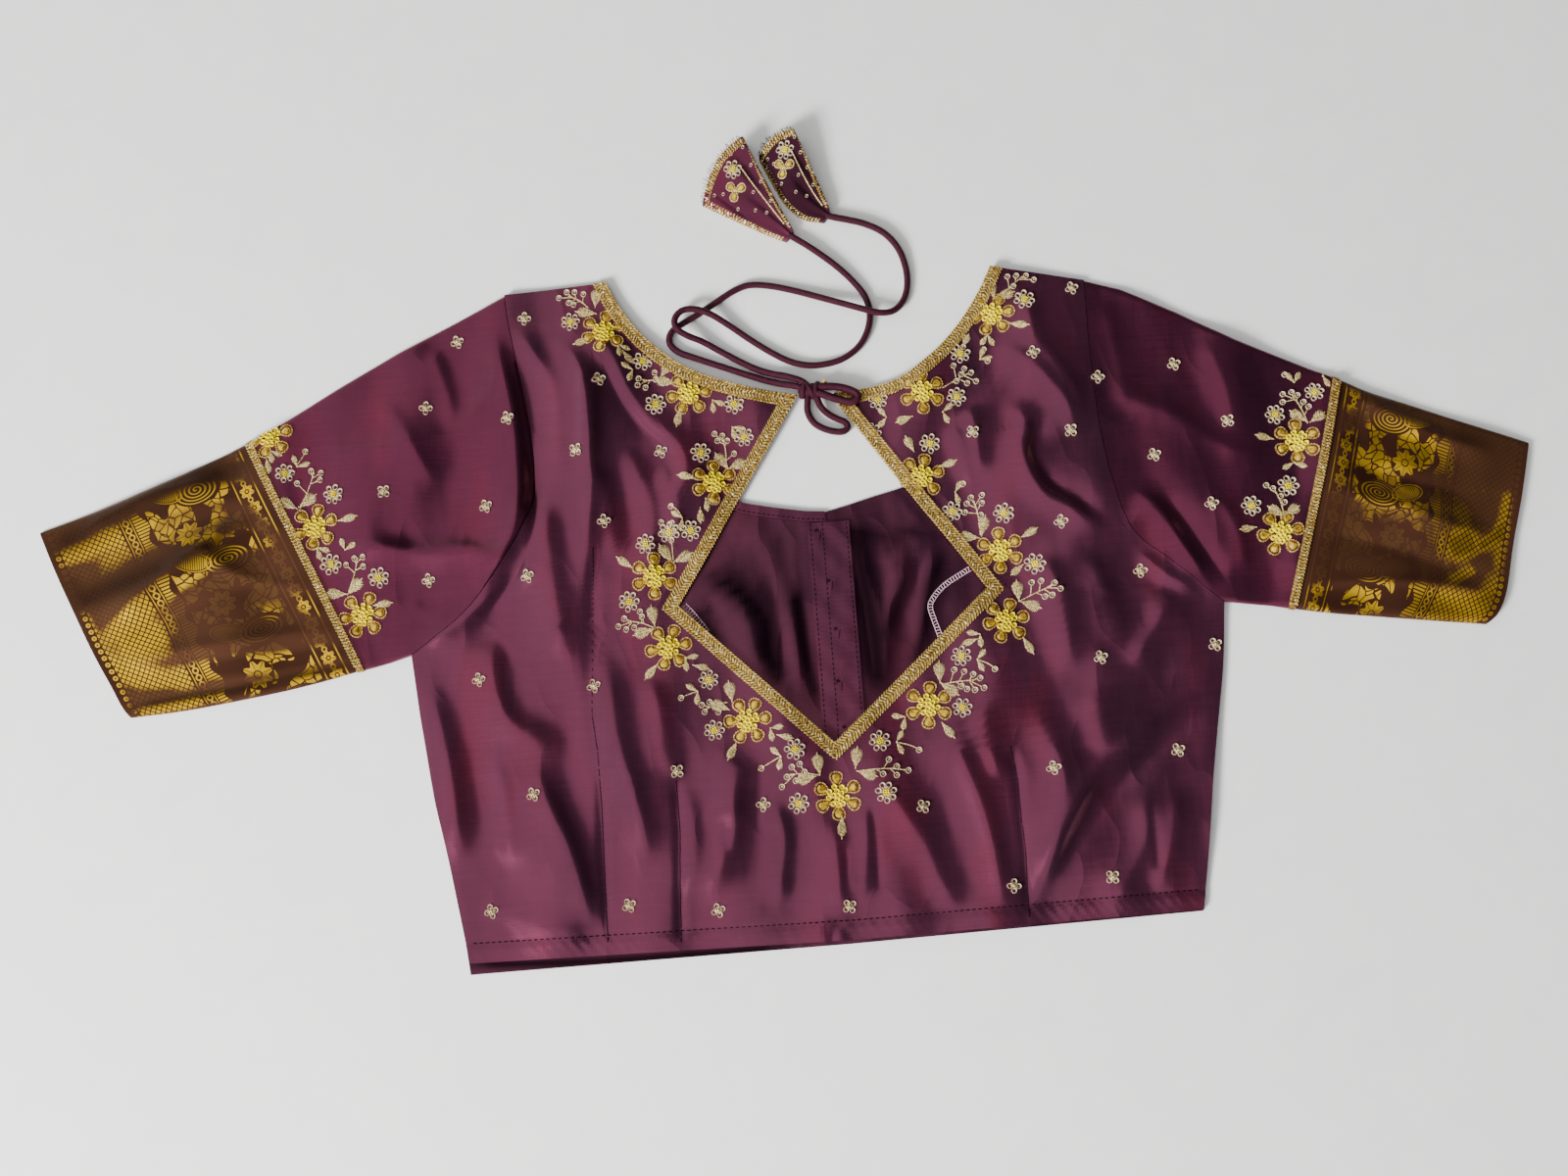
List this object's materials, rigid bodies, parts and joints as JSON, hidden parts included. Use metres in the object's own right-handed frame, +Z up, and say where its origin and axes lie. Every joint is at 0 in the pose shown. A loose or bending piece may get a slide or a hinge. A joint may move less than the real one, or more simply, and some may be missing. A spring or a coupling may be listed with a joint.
{
  "type": "saree blouse",
  "caption": "Silk saree blouse laid flat, back side up, with a kite cut-out, elbow sleeves with brocade borders, gold lace and tie cords.",
  "frame": {"origin": "middle of the garment's box, without its tie cords, on the surface that it lies on", "axes": "+X to the garment's right sleeve as seen from above, +Y towards the neck, +Z up from the surface"},
  "size_m": [0.862, 0.4793, 0.0191],
  "materials": {
    "silk": "satin",
    "lining": "matte",
    "brocade": "woven gold zari",
    "gold_lace": "metallic thread",
    "dori": "satin",
    "gold_thread": "metallic thread",
    "amber_stone": "glossy",
    "white_sequin": "glossy",
    "yellow_thread": "matte",
    "overlock_thread": "matte"
  },
  "bodies": {
    "root": {"back": "silk", "front_left": "lining", "front_right": "lining", "placket": "lining", "binding_front": "silk", "sleeve_left": "silk", "sleeve_right": "silk", "border_left": "brocade", "border_right": "brocade", "lace_sleeve_left": "gold_lace", "lace_sleeve_right": "gold_lace", "lace_neck_left": "gold_lace", "lace_neck_right": "gold_lace", "lace_kite": "gold_lace", "knot": "dori", "bow_loop_high": "dori", "bow_loop_low": "dori", "cord_left": "dori", "cord_right": "dori", "latkan_left": "silk", "latkan_right": "silk"}
  },
  "joints": []
}
